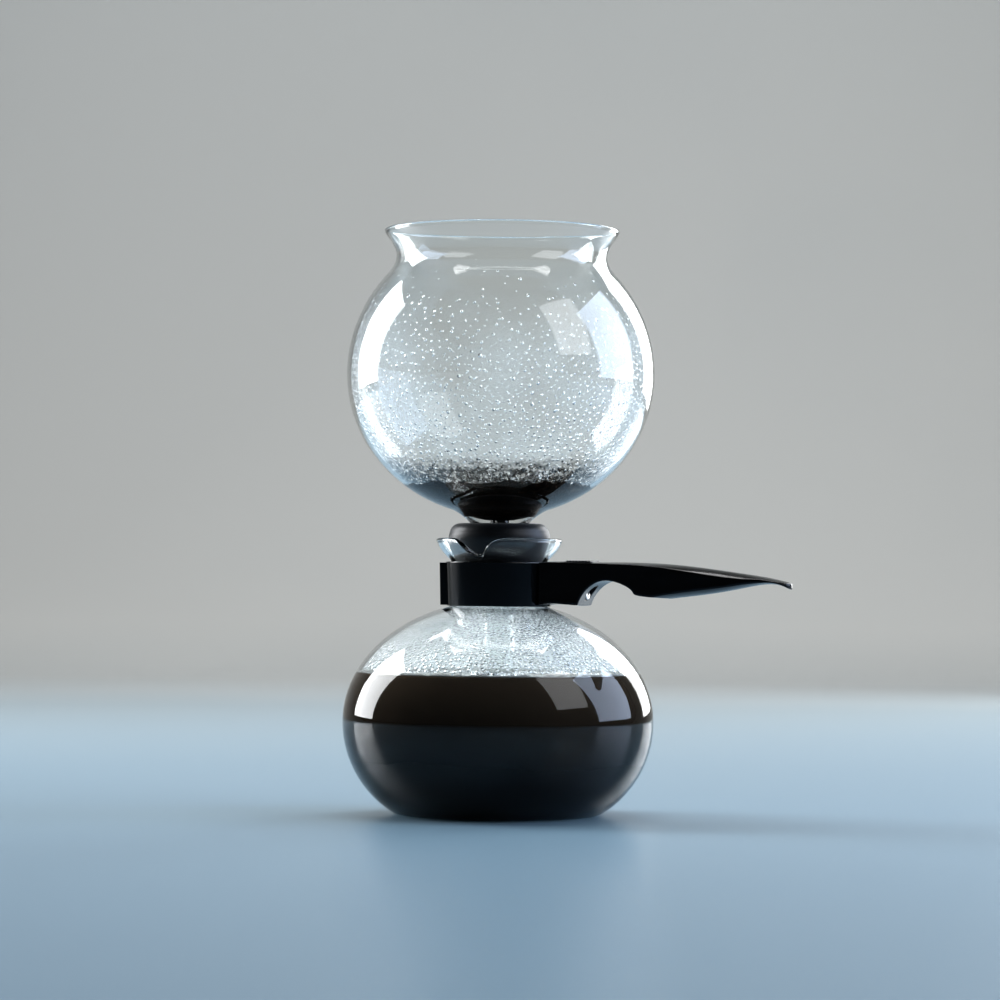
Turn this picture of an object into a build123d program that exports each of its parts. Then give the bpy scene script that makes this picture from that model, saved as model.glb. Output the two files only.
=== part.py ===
from build123d import *
from math import acos, cos, degrees, exp, radians, sin, sqrt
import os

# Stove-top vacuum coffee maker: a squashed glass carafe with a black collar and
# handle, and an open glass funnel that stands in the carafe's neck on a soft seal.
# Millimetres.  The origin is the centre of the carafe's flat base, Z is up, the
# handle points along +X and the pouring spout is cut in the lip towards -Y.

os.makedirs("parts", exist_ok=True)

# ---------------------------------------------------------------- sizes
wall = 2.0                  # blown glass wall
tube_wall = 1.6             # drawn glass tube wall
slip = 0.3                  # space between parts that lift apart
fit = 0.2                   # space round fixed parts that slide into a pocket

# carafe
belly_r = 76.1              # widest radius
belly_z = 45.5              # height of the widest point
side_arc = 52.0             # radius of the lower side, seen from the side
base_blend = 10.0           # radius where the side turns into the flat base
shoulder_rise = 59.5        # from the widest point to the top of the shoulder curve
neck_r = 22.2               # neck, outside
neck_turn = 2.4             # how far the shoulder turns up into the neck
shoulder_end = degrees(acos((neck_r + neck_turn) / belly_r))
neck_low = belly_z + shoulder_rise * sin(radians(shoulder_end)) + 3.0
collar_z0 = neck_low - 2.6  # collar, lower edge
collar_h = 21.6             # collar height
collar_z1 = collar_z0 + collar_h
neck_top = collar_z1 - 5.3  # straight neck ends and the lip flares
lip_r = neck_r + 8.7        # lip radius at the rim
lip_z = neck_top + 16.1     # height of the rim
spout_reach = 6.8           # how far the spout is pulled out past the round lip
spout_drop = 8.0            # how far the rim dips at the spout
spout_half = 14.0           # half the width of the dip
spout_spread = 20.0         # angle over which the pull fades, degrees
lap = 0.03                  # how deep the lip's root is buried in the neck's wall

# collar
liner_t = 1.0               # soft strip between glass and collar
bore_r = neck_r + liner_t
collar_r_low = bore_r + 2.2
collar_r_top = bore_r + 3.0
lug_r = collar_r_top + 1.4  # reach of the boss opposite the handle
lug_half = 9.0              # half the width of that boss

# handle and its clamp
grip_half = 11.0            # half the width of the handle at its root
grip_end = 148.4            # tip of the handle, from the axis
root_end = collar_r_top + 17.6  # where the finger arch starts, from the axis
root_z = collar_z0 + 0.5    # underside of the handle's root
grip_top = collar_z1 + 0.3  # top of the handle at the root
root_h = grip_top - root_z
thumb_x = collar_r_top + 17.0   # middle of the thumb grip
thumb_l = 14.5
thumb_depth = 1.6
screw_z = root_z + 0.30 * root_h    # height of the clamp screw
screw_r = 2.0               # clamp screw shank
head_r = 3.4                # clamp screw head
head_h = 2.4
head_x = root_end - 0.8     # underside of the washer, from the axis
washer_t = 0.8
ear_gap = 3.0               # half the gap between the collar's ears
ear_t = 2.2                 # thickness of an ear
ear_end = collar_r_top + 5.3    # reach of the ears from the axis
ear_h = 0.62 * collar_h
yoke_t = 2.2                # wall of the yoke round the ears
yoke_end = ear_end + 4.0    # reach of the yoke from the axis

# seal
tube_r = 8.0                # funnel tube, outside
tube_bore = tube_r - tube_wall
plug_r = neck_r - wall - slip
seal_r = neck_r + 2.7       # widest radius of the seal
seal_top_r = seal_r - 5.9   # flat top
seal_wide_z = lip_z + 1.0
seal_z1 = seal_wide_z + 7.0 # top of the seal
seal_plug_z = neck_top + 2.5    # the plug in the neck starts here
seal_z0 = neck_top - 6.5    # underside of the seal
seal_rib = 0.8              # depth of the grooves between the sealing ribs

# funnel
globe_r = 75.4              # globe, widest radius
globe_up = 0.972 * globe_r      # upper half-height of the globe's curve
globe_down = 0.923 * globe_r    # lower half-height of the globe's curve
globe_z = seal_z1 + 3.2 + globe_down
mouth_neck_r = 0.686 * globe_r      # narrowest radius below the rim
mouth_neck_z = globe_z + 0.789 * globe_up
mouth_r = mouth_neck_r + 5.9        # rim radius
mouth_z = mouth_neck_z + 12.4
tube_z0 = 10.0              # open lower end of the tube
bell_z = seal_z1 - 11.6     # the tube starts to open into the globe
seam_z = seal_z1 - 5.6      # where globe and tube are fused, inside the seal

# filter
filter_seat_r = 27.6        # ring on which the filter lies in the globe
gasket_t = 1.3              # section radius of the filter's gasket
filter_base_r = filter_seat_r - 0.4
filter_base_t = 2.0
filter_cap_r = filter_base_r - 2.0
filter_cap_h = 4.6
screen_t = 0.4
stem_r = tube_bore - 1.9    # split stem of the filter
stem_z0 = seal_z0
pin_r = stem_r - 1.5        # threaded pin that holds the filter together
knob_r = stem_r - 0.1
knob_h = 4.4


# ---------------------------------------------------------------- curve helpers
def on_ellipse(a, b, middle_z, angle):
    return (a * cos(radians(angle)), middle_z + b * sin(radians(angle)))


def ellipse_heading(a, b, angle):
    return (-a * sin(radians(angle)), b * cos(radians(angle)))


def ellipse_z(a, b, middle_z, radius, side):
    return middle_z + side * b * sqrt(1 - (radius / a) ** 2)


def lip_ring(radius, pull):
    """Outline of the lip at one height: round, drawn out towards the spout at -Y."""
    ring = []
    for step in range(32):
        turn = step * 11.25 - 90
        away = abs(turn + 90) if turn < 90 else 270 - turn
        reach = radius + pull * exp(-((away / spout_spread) ** 2))
        ring.append((reach * cos(radians(turn)), reach * sin(radians(turn))))
    return ring


# ---------------------------------------------------------------- carafe
def carafe_side(inset):
    """Corner points of the carafe's side, moved inwards by the wall thickness."""
    a = belly_r - inset
    b = shoulder_rise - inset
    middle_r = belly_r - side_arc
    blend_c = middle_r + sqrt((side_arc - base_blend) ** 2 - (belly_z - base_blend) ** 2)
    lean = side_arc / (side_arc - base_blend)
    out = (side_arc - inset) / side_arc
    join = (
        middle_r + (blend_c - middle_r) * lean * out,
        belly_z + (base_blend - belly_z) * lean * out,
    )
    blend = base_blend - inset
    half_turn = radians(-64)
    middle = (blend_c + blend * cos(half_turn), base_blend + blend * sin(half_turn))
    drop = radians(-28)
    flank = (middle_r + (side_arc - inset) * cos(drop), belly_z + (side_arc - inset) * sin(drop))
    return a, b, (blend_c, inset), middle, join, flank


with BuildSketch(Plane.XZ) as carafe_section:
    with BuildLine():
        a, b, foot, turn_mid, join, flank = carafe_side(0)
        Line((0, 0), foot)
        ThreePointArc(foot, turn_mid, join)
        ThreePointArc(join, flank, (a, belly_z))
        EllipticalCenterArc((0, belly_z), a, b, 0, arc_size=shoulder_end)
        Spline(on_ellipse(a, b, belly_z, shoulder_end), (neck_r, neck_low),
               tangents=(ellipse_heading(a, b, shoulder_end), (0, 1)))
        Line((neck_r, neck_low), (neck_r, neck_top))
        Line((neck_r, neck_top), (neck_r - wall, neck_top))
        Line((neck_r - wall, neck_top), (neck_r - wall, neck_low))
        a, b, foot, turn_mid, join, flank = carafe_side(wall)
        inner_end = shoulder_end + 1
        Spline(on_ellipse(a, b, belly_z, inner_end), (neck_r - wall, neck_low),
               tangents=(ellipse_heading(a, b, inner_end), (0, 1)))
        EllipticalCenterArc((0, belly_z), a, b, 0, arc_size=inner_end)
        ThreePointArc((a, belly_z), flank, join)
        ThreePointArc(join, turn_mid, foot)
        Line(foot, (0, wall))
        Line((0, wall), (0, 0))
    make_face()

# heights of the lip's outlines, their radius and how far the spout pulls them out
lip_rings = [
    (neck_top - 0.8, neck_r, 0),
    (neck_top + 1.2, neck_r, 0),
    (neck_top + 3.3, neck_r + 0.3, 0),
    (neck_top + 5.8, neck_r + 1.5, 0.10 * spout_reach),
    (neck_top + 8.3, neck_r + 3.9, 0.68 * spout_reach),
    (lip_z - 5.2, lip_r - 2.5, 0.96 * spout_reach),
    (lip_z - 2.6, lip_r - 0.9, 1.04 * spout_reach),
    (lip_z, lip_r, 1.05 * spout_reach),
]

with BuildPart() as carafe_lip_outside:
    for height, radius, pull in lip_rings:
        with BuildSketch(Plane.XY.offset(height)):
            with BuildLine():
                Spline(*lip_ring(radius - lap, pull), periodic=True)
            make_face()
    loft()

with BuildPart() as carafe_lip_inside:
    for height, radius, pull in lip_rings:
        with BuildSketch(Plane.XY.offset(height)):
            with BuildLine():
                Spline(*lip_ring(radius - wall + lap, pull), periodic=True)
            make_face()
    loft()

with BuildPart() as carafe_lip:
    add(carafe_lip_outside.part)
    add(carafe_lip_inside.part, mode=Mode.SUBTRACT)

with BuildPart() as carafe_glass:
    revolve(carafe_section.sketch, axis=Axis.Z)
    add(carafe_lip.part)
    # the dip in the rim, cut through the pulled-out side only
    with BuildSketch(Plane.XZ):
        with BuildLine():
            side_z = lip_z - 0.49 * spout_drop
            dip = Spline((-spout_half, lip_z), (-0.43 * spout_half, side_z),
                         (0, lip_z - spout_drop), (0.43 * spout_half, side_z),
                         (spout_half, lip_z), tangents=((1, 0), (1, 0)))
            Line(dip @ 1, (spout_half, lip_z + 5))
            Line((spout_half, lip_z + 5), (-spout_half, lip_z + 5))
            Line((-spout_half, lip_z + 5), dip @ 0)
        make_face()
    extrude(amount=2 * lip_r, mode=Mode.SUBTRACT)

carafe_glass.part.label = "carafe_glass"
export_step(carafe_glass.part, "parts/carafe_glass.step")

# ---------------------------------------------------------------- collar
with BuildPart() as neck_liner:
    with BuildSketch(Plane.XY.offset(neck_low + 0.6)):
        Circle(neck_r + liner_t)
        Circle(neck_r, mode=Mode.SUBTRACT)
    extrude(amount=neck_top - neck_low - 2.2)

neck_liner.part.label = "neck_liner"
export_step(neck_liner.part, "parts/neck_liner.step")

with BuildSketch(Plane.XZ) as collar_outside:
    with BuildLine():
        Polyline((0, collar_z0), (collar_r_low, collar_z0), (collar_r_top, collar_z1),
                 (0, collar_z1), (0, collar_z0))
    make_face()

with BuildSketch(Plane.XZ) as collar_bore:
    with BuildLine():
        Polyline((0, collar_z0), (bore_r + 1.4, collar_z0), (bore_r, collar_z0 + 2.6),
                 (bore_r, collar_z1 - 3.2), (bore_r + 2.0, collar_z1), (0, collar_z1),
                 (0, collar_z0))
    make_face()

ear_z = (collar_z0 + collar_z1) / 2
with BuildPart() as collar_band:
    revolve(collar_outside.sketch, axis=Axis.Z)
    fillet(edges().group_by(Axis.Z)[-1], 0.5)
    # boss opposite the handle, a little shorter than the collar
    with BuildSketch(Plane.XY.offset(collar_z0 + 0.4)):
        with Locations((-(lug_r + bore_r) / 2, 0)):
            RectangleRounded(lug_r - bore_r, 2 * lug_half, 1.0)
    extrude(amount=collar_z1 - collar_z0 - 0.9, taper=-1.5)
    # ears that reach into the handle
    with BuildSketch(Plane.XY.offset(ear_z - ear_h / 2)):
        with Locations(((bore_r + 1 + ear_end) / 2, 0)):
            Rectangle(ear_end - bore_r - 1, 2 * (ear_gap + ear_t))
    extrude(amount=ear_h)
    revolve(collar_bore.sketch, axis=Axis.Z, mode=Mode.SUBTRACT)
    with BuildSketch(Plane.XY.offset(collar_z0)):
        with Locations((ear_end / 2 + 5, 0)):
            Rectangle(ear_end, 2 * ear_gap)
    extrude(amount=collar_z1 - collar_z0, mode=Mode.SUBTRACT)

collar_band.part.label = "collar_band"
export_step(collar_band.part, "parts/collar_band.step")

# ---------------------------------------------------------------- handle
# stations along the handle: distance from the axis, underside and top as shares of
# the root's height, half width, and how much lower the edges are than the ridge
# above and below, also as shares
grip_start = root_end + 2.2
grip_l = grip_end - grip_start
stations = [
    (collar_r_low - 1.4, 0, 1, grip_half, 0.028, 0.009),
    (grip_start, 0, 1, grip_half, 0.028, 0.009),
    (grip_start + 0.215 * grip_l, 0.057, 0.995, grip_half - 0.2, 0.047, 0.038),
    (grip_start + 0.430 * grip_l, 0.194, 0.953, grip_half - 0.5, 0.095, 0.095),
    (grip_start + 0.625 * grip_l, 0.313, 0.853, grip_half - 1.3, 0.137, 0.100),
    (grip_start + 0.810 * grip_l, 0.479, 0.735, grip_half - 1.9, 0.104, 0.062),
    (grip_end, 0.408, 0.545, grip_half - 3.4, 0.047, 0.038),
]

with BuildPart() as handle:
    for x, low_share, top_share, half, crown_share, keel_share in stations:
        low = root_z + low_share * root_h
        top = root_z + top_share * root_h
        crown = crown_share * root_h
        keel = keel_share * root_h
        with BuildSketch(Plane.YZ.offset(x)):
            with BuildLine():
                ThreePointArc((-half, top - crown), (0, top), (half, top - crown))
                Line((half, top - crown), (half, low + keel))
                ThreePointArc((half, low + keel), (0, low), (-half, low + keel))
                Line((-half, low + keel), (-half, top - crown))
            make_face()
    loft()
    # rounded tip, seen from above
    with BuildSketch(Plane.XY.offset(root_z - 5)):
        with Locations((grip_end / 2, 0)):
            RectangleRounded(grip_end, 2 * (grip_half - 3.0), grip_half - 3.2)
        with Locations((grip_end / 4, 0)):
            Rectangle(grip_end / 2, 3 * grip_half)
        with BuildLine():
            Polyline((grip_end / 2, 1.5 * grip_half), (grip_end - 14, grip_half - 3.0),
                     (grip_end - 14, 3.0 - grip_half), (grip_end / 2, -1.5 * grip_half),
                     (grip_end / 2, 1.5 * grip_half))
        make_face()
    extrude(amount=40, mode=Mode.INTERSECT)
    # finger arch behind the root
    with BuildSketch(Plane.XZ):
        with BuildLine():
            arch = Spline((root_end, root_z - 1), (root_end + 3.6, root_z + 0.303 * root_h),
                          (root_end + 14.0, root_z + 0.578 * root_h),
                          (root_end + 27.5, root_z + 0.365 * root_h),
                          (root_end + 44.0, root_z + 0.190 * root_h),
                          tangents=((0.25, 1), (1, -0.06)))
            Line(arch @ 1, (root_end + 44.0, root_z - 6))
            Line((root_end + 44.0, root_z - 6), (root_end, root_z - 6))
            Line((root_end, root_z - 6), arch @ 0)
        make_face()
    extrude(amount=2 * grip_half, both=True, mode=Mode.SUBTRACT)
    # seat on the collar
    revolve(collar_outside.sketch, axis=Axis.Z, mode=Mode.SUBTRACT)
    with BuildSketch(Plane.XY.offset(collar_z1)):
        Circle(collar_r_top)
    extrude(amount=2, mode=Mode.SUBTRACT)
    # pocket for the ears and the yoke
    pocket_end = yoke_end + fit
    pocket_half = ear_gap + ear_t + yoke_t + 2 * fit
    with BuildSketch(Plane.XY.offset(ear_z - ear_h / 2 - fit)):
        with Locations((pocket_end / 2, 0)):
            Rectangle(pocket_end, 2 * pocket_half)
    extrude(amount=ear_h + 2 * fit, mode=Mode.SUBTRACT)
    # clamp screw hole with its counterbore in the arch
    with BuildSketch(Plane.YZ.offset(pocket_end - 1)):
        with Locations((0, screw_z)):
            Circle(screw_r + fit)
    extrude(amount=20, mode=Mode.SUBTRACT)
    with BuildSketch(Plane.YZ.offset(head_x)):
        with Locations((0, screw_z)):
            Circle(head_r + fit)
    extrude(amount=12, mode=Mode.SUBTRACT)
    # recess for the thumb grip
    with BuildSketch(Plane.XY.offset(grip_top - thumb_depth)):
        with Locations((thumb_x, 0)):
            RectangleRounded(thumb_l, 2 * grip_half - 5, 2.0)
    extrude(amount=2 * thumb_depth, mode=Mode.SUBTRACT)

handle.part.label = "handle"
export_step(handle.part, "parts/handle.step")

with BuildPart() as thumb_grip:
    with BuildSketch(Plane.XY.offset(grip_top - thumb_depth)):
        with Locations((thumb_x, 0)):
            RectangleRounded(thumb_l, 2 * grip_half - 5, 2.0)
    extrude(amount=thumb_depth + 0.1)
    # cross ribs
    with BuildSketch(Plane.XY.offset(grip_top + 0.1)):
        with GridLocations(1.6, 0, 8, 1):
            with Locations((thumb_x, 0)):
                Rectangle(0.8, 2 * grip_half - 8)
    extrude(amount=0.5)

thumb_grip.part.label = "thumb_grip"
export_step(thumb_grip.part, "parts/thumb_grip.step")

with BuildPart() as clamp_yoke:
    with BuildSketch(Plane.XY.offset(ear_z - ear_h / 2)):
        with Locations(((collar_r_top + 0.6 + yoke_end) / 2, 0)):
            Rectangle(yoke_end - collar_r_top - 0.6, 2 * (ear_gap + ear_t + yoke_t))
        with Locations(((ear_end + fit) / 2, 0)):
            Rectangle(ear_end + fit, 2 * (ear_gap + ear_t), mode=Mode.SUBTRACT)
    extrude(amount=ear_h)
    with BuildSketch(Plane.YZ.offset(ear_end)):
        with Locations((0, screw_z)):
            Circle(screw_r)
    extrude(amount=yoke_end, mode=Mode.SUBTRACT)

clamp_yoke.part.label = "clamp_yoke"
export_step(clamp_yoke.part, "parts/clamp_yoke.step")

with BuildPart() as screw_washer:
    with BuildSketch(Plane.YZ.offset(head_x)):
        with Locations((0, screw_z)):
            Circle(head_r)
            Circle(screw_r + fit, mode=Mode.SUBTRACT)
    extrude(amount=washer_t)

screw_washer.part.label = "screw_washer"
export_step(screw_washer.part, "parts/screw_washer.step")

with BuildPart() as clamp_screw:
    with BuildSketch(Plane.YZ.offset(ear_end + fit)):
        with Locations((0, screw_z)):
            Circle(screw_r)
    extrude(amount=head_x + washer_t - ear_end - fit)
    with BuildSketch(Plane.YZ.offset(head_x + washer_t)):
        with Locations((0, screw_z)):
            Circle(head_r)
    extrude(amount=head_h)
    fillet(edges().group_by(Axis.X)[-1], 0.5)
    with BuildSketch(Plane.YZ.offset(head_x + washer_t + head_h)):
        with Locations((0, screw_z)):
            RegularPolygon(1.5, 6)
    extrude(amount=-1.4, mode=Mode.SUBTRACT)

clamp_screw.part.label = "clamp_screw"
export_step(clamp_screw.part, "parts/clamp_screw.step")


# ---------------------------------------------------------------- funnel
bell_angle = -71.5          # where the tube's bell leaves the globe's lower curve
shoulder_angle = 41.0       # where the mouth's neck leaves the globe's upper curve

with BuildSketch(Plane.XZ) as funnel_section:
    with BuildLine():
        low_b = globe_down
        up_b = globe_up
        bell_end = on_ellipse(globe_r, low_b, globe_z, bell_angle)
        Line((tube_r, tube_z0), (tube_r, bell_z))
        Spline((tube_r, bell_z), (tube_r + 6.8, seal_z1 + 0.6), bell_end,
               tangents=((0, 1), ellipse_heading(globe_r, low_b, bell_angle)))
        EllipticalCenterArc((0, globe_z), globe_r, low_b, bell_angle, arc_size=-bell_angle)
        EllipticalCenterArc((0, globe_z), globe_r, up_b, 0, arc_size=shoulder_angle)
        shoulder = on_ellipse(globe_r, up_b, globe_z, shoulder_angle)
        Spline(shoulder, (mouth_neck_r, mouth_neck_z), (mouth_r, mouth_z),
               tangents=(ellipse_heading(globe_r, up_b, shoulder_angle), (0.44, 0.90)))
        ThreePointArc((mouth_r, mouth_z), (mouth_r - 0.5, mouth_z + 1.3),
                      (mouth_r - wall, mouth_z + 0.7))
        inner_r = globe_r - wall
        low_b = globe_down - wall
        up_b = globe_up - wall
        shoulder = on_ellipse(inner_r, up_b, globe_z, shoulder_angle)
        Spline(shoulder, (mouth_neck_r - wall, mouth_neck_z), (mouth_r - wall, mouth_z + 0.7),
               tangents=(ellipse_heading(inner_r, up_b, shoulder_angle), (0.44, 0.90)))
        EllipticalCenterArc((0, globe_z), inner_r, up_b, 0, arc_size=shoulder_angle)
        EllipticalCenterArc((0, globe_z), inner_r, low_b, bell_angle, arc_size=-bell_angle)
        bell_end = on_ellipse(inner_r, low_b, globe_z, bell_angle)
        Spline((tube_bore, bell_z), (tube_bore + 6.9, seal_z1 + 1.7), bell_end,
               tangents=((0, 1), ellipse_heading(inner_r, low_b, bell_angle)))
        Line((tube_bore, bell_z), (tube_bore, tube_z0))
        Line((tube_bore, tube_z0), (tube_r, tube_z0))
    make_face()

with BuildPart() as funnel_globe:
    revolve(funnel_section.sketch, axis=Axis.Z)
    split(bisect_by=Plane.XY.offset(seam_z), keep=Keep.TOP)

funnel_globe.part.label = "funnel_globe"
export_step(funnel_globe.part, "parts/funnel_globe.step")

with BuildPart() as funnel_tube:
    revolve(funnel_section.sketch, axis=Axis.Z)
    split(bisect_by=Plane.XY.offset(seam_z), keep=Keep.BOTTOM)
    fillet(edges().group_by(Axis.Z)[0], 0.6)

funnel_tube.part.label = "funnel_tube"
export_step(funnel_tube.part, "parts/funnel_tube.step")

# ---------------------------------------------------------------- seal
with BuildPart() as seal:
    with BuildSketch(Plane.XZ):
        with BuildLine():
            Line((0, seal_z0), (plug_r - 1.2, seal_z0))
            Line((plug_r - 1.2, seal_z0), (plug_r, seal_z0 + 1.6))
            Line((plug_r, seal_z0 + 1.6), (plug_r, seal_plug_z))
            Line((plug_r, seal_plug_z), (seal_r - 0.5, seal_wide_z - 2.6))
            ThreePointArc((seal_r - 0.5, seal_wide_z - 2.6), (seal_r, seal_wide_z),
                          (seal_r - 0.55, seal_wide_z + 2.6))
            ThreePointArc((seal_r - 0.55, seal_wide_z + 2.6),
                          (seal_top_r + 3.6, seal_z1 - 1.25), (seal_top_r, seal_z1))
            Line((seal_top_r, seal_z1), (0, seal_z1))
            Line((0, seal_z1), (0, seal_z0))
        make_face()
    revolve(axis=Axis.Z)
    # grooves between the sealing ribs
    with BuildSketch(Plane.XZ):
        with Locations((plug_r, seal_z0 + 4.2), (plug_r, seal_z0 + 7.4)):
            Rectangle(2 * seal_rib, 1.6)
    revolve(axis=Axis.Z, mode=Mode.SUBTRACT)
    # hollow underside that lets the plug give
    with BuildSketch(Plane.XY.offset(seal_z0)):
        Circle(plug_r - 3.4)
        Circle(tube_r + 2.4, mode=Mode.SUBTRACT)
    extrude(amount=14, mode=Mode.SUBTRACT)
    # the glass passes through
    with BuildSketch(Plane.XZ):
        with BuildLine():
            bell_end = on_ellipse(globe_r, globe_down, globe_z, bell_angle)
            Line((0, tube_z0), (tube_r, tube_z0))
            Line((tube_r, tube_z0), (tube_r, bell_z))
            Spline((tube_r, bell_z), (tube_r + 6.8, seal_z1 + 0.6), bell_end,
                   tangents=((0, 1), ellipse_heading(globe_r, globe_down, bell_angle)))
            Line(bell_end, (0, bell_end[1]))
            Line((0, bell_end[1]), (0, tube_z0))
        make_face()
    revolve(axis=Axis.Z, mode=Mode.SUBTRACT)

seal.part.label = "seal"
export_step(seal.part, "parts/seal.step")

# ---------------------------------------------------------------- filter
seat_z = ellipse_z(globe_r - wall, globe_down - wall, globe_z, filter_seat_r, -1)
gasket_z = seat_z + (gasket_t + slip) / cos(radians(20.5))
plate_z0 = gasket_z - filter_base_t / 2
plate_z1 = gasket_z + filter_base_t / 2

with BuildPart() as filter_base:
    with BuildSketch(Plane.XY.offset(plate_z0)):
        Circle(filter_base_r)
        with PolarLocations(0.82 * filter_cap_r, 16):
            SlotOverall(6.0, 2.4, mode=Mode.SUBTRACT)
        with PolarLocations(0.46 * filter_cap_r, 8):
            SlotOverall(6.0, 2.4, mode=Mode.SUBTRACT)
        Circle(pin_r, mode=Mode.SUBTRACT)
    extrude(amount=filter_base_t)
    with BuildSketch(Plane.XZ):
        with Locations((filter_seat_r, gasket_z)):
            Circle(gasket_t)
    revolve(axis=Axis.Z, mode=Mode.SUBTRACT)

filter_base.part.label = "filter_base"
export_step(filter_base.part, "parts/filter_base.step")

with BuildPart() as filter_gasket:
    with BuildSketch(Plane.XZ):
        with Locations((filter_seat_r, gasket_z)):
            Circle(gasket_t)
    revolve(axis=Axis.Z)

filter_gasket.part.label = "filter_gasket"
export_step(filter_gasket.part, "parts/filter_gasket.step")

with BuildPart() as filter_screen:
    with BuildSketch(Plane.XY.offset(plate_z1)):
        Circle(filter_cap_r - 2.0)
        for share, count in ((0.82, 40), (0.64, 30), (0.46, 20)):
            with PolarLocations(share * filter_cap_r, count):
                Circle(0.8, mode=Mode.SUBTRACT)
        Circle(pin_r, mode=Mode.SUBTRACT)
    extrude(amount=screen_t)

filter_screen.part.label = "filter_screen"
export_step(filter_screen.part, "parts/filter_screen.step")

cap_z1 = plate_z1 + filter_cap_h
knob_z1 = cap_z1 + knob_h
with BuildPart() as filter_cap:
    with BuildSketch(Plane.XZ):
        with BuildLine():
            Line((pin_r, cap_z1), (stem_r + 2, cap_z1))
            ThreePointArc((stem_r + 2, cap_z1), (0.71 * filter_cap_r, cap_z1 - 1.0),
                          (filter_cap_r, plate_z1 + 1.2))
            Line((filter_cap_r, plate_z1 + 1.2), (filter_cap_r, plate_z1))
            Line((filter_cap_r, plate_z1), (filter_cap_r - 1.8, plate_z1))
            Line((filter_cap_r - 1.8, plate_z1), (filter_cap_r - 1.8, plate_z1 + 0.9))
            ThreePointArc((filter_cap_r - 1.8, plate_z1 + 0.9), (0.67 * filter_cap_r, cap_z1 - 2.4),
                          (stem_r + 2, cap_z1 - 1.5))
            Line((stem_r + 2, cap_z1 - 1.5), (stem_r + 2, plate_z1 + screen_t))
            Line((stem_r + 2, plate_z1 + screen_t), (pin_r, plate_z1 + screen_t))
            Line((pin_r, plate_z1 + screen_t), (pin_r, cap_z1))
        make_face()
    revolve(axis=Axis.Z)
    with BuildSketch(Plane.XY.offset(plate_z1 + screen_t)):
        with PolarLocations(0.6 * filter_cap_r, 24):
            SlotOverall(0.48 * filter_cap_r, 1.2)
    extrude(amount=filter_cap_h, mode=Mode.SUBTRACT)

filter_cap.part.label = "filter_cap"
export_step(filter_cap.part, "parts/filter_cap.step")

with BuildPart() as filter_stem:
    with BuildSketch(Plane.XY.offset(stem_z0)):
        Circle(stem_r)
    extrude(amount=plate_z0 - stem_z0)
    # spring barbs near the lower end
    with BuildSketch(Plane.XZ):
        with BuildLine():
            Polyline((stem_r - 1, stem_z0), (stem_r - 0.6, stem_z0),
                     (tube_bore - slip, stem_z0 + 5), (stem_r, stem_z0 + 8),
                     (stem_r - 1, stem_z0 + 8), (stem_r - 1, stem_z0))
        make_face()
    revolve(axis=Axis.Z)
    with BuildSketch(Plane.XY.offset(plate_z0)):
        Circle(pin_r)
    extrude(amount=cap_z1 + 2.0 - plate_z0)
    # cross slot that makes four springy legs
    with BuildSketch(Plane.XY.offset(stem_z0)):
        Rectangle(1.6, 4 * stem_r)
        Rectangle(4 * stem_r, 1.6)
    extrude(amount=plate_z0 - stem_z0 - 3.5, mode=Mode.SUBTRACT)

filter_stem.part.label = "filter_stem"
export_step(filter_stem.part, "parts/filter_stem.step")

with BuildPart() as filter_knob:
    with BuildSketch(Plane.XZ):
        with BuildLine():
            Line((0, cap_z1 + 2.0), (pin_r, cap_z1 + 2.0))
            Line((pin_r, cap_z1 + 2.0), (pin_r, cap_z1))
            Line((pin_r, cap_z1), (stem_r + 0.4, cap_z1))
            ThreePointArc((stem_r + 0.4, cap_z1), (knob_r - 0.7, cap_z1 + 1.6),
                          (knob_r, knob_z1 - 1.0))
            Line((knob_r, knob_z1 - 1.0), (knob_r - 1.0, knob_z1))
            Line((knob_r - 1.0, knob_z1), (0, knob_z1))
            Line((0, knob_z1), (0, cap_z1 + 2.0))
        make_face()
    revolve(axis=Axis.Z)

filter_knob.part.label = "filter_knob"
export_step(filter_knob.part, "parts/filter_knob.step")
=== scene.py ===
import math
import random

import bpy
import numpy as np
from mathutils import Matrix, Vector


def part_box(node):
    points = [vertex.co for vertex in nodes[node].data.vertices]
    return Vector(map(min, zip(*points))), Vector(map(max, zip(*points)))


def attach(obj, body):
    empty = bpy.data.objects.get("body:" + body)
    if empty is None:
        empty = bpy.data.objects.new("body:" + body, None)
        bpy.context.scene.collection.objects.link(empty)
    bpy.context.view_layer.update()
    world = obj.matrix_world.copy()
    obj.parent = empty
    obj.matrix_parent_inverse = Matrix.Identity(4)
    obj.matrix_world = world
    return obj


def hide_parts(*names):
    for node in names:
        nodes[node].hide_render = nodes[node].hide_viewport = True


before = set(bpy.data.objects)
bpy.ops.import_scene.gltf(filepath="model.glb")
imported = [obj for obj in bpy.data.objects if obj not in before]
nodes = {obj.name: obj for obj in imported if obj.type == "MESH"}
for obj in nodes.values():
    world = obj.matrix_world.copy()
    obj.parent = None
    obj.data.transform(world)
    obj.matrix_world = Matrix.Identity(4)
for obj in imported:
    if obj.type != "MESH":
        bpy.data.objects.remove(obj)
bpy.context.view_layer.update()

rnd = random.Random(7)
MM = 0.001

# ------------------------------------------------------------------ sizes read from the frame
glass_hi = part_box("carafe_glass")[1]
globe_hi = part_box("funnel_globe")[1]
tube_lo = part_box("funnel_tube")[0]
seal_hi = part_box("seal")[1]
WALL = 2.0 * MM            # of both blown glasses
TUBE_R = 8.0 * MM
TUBE_WALL = 1.6 * MM

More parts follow.
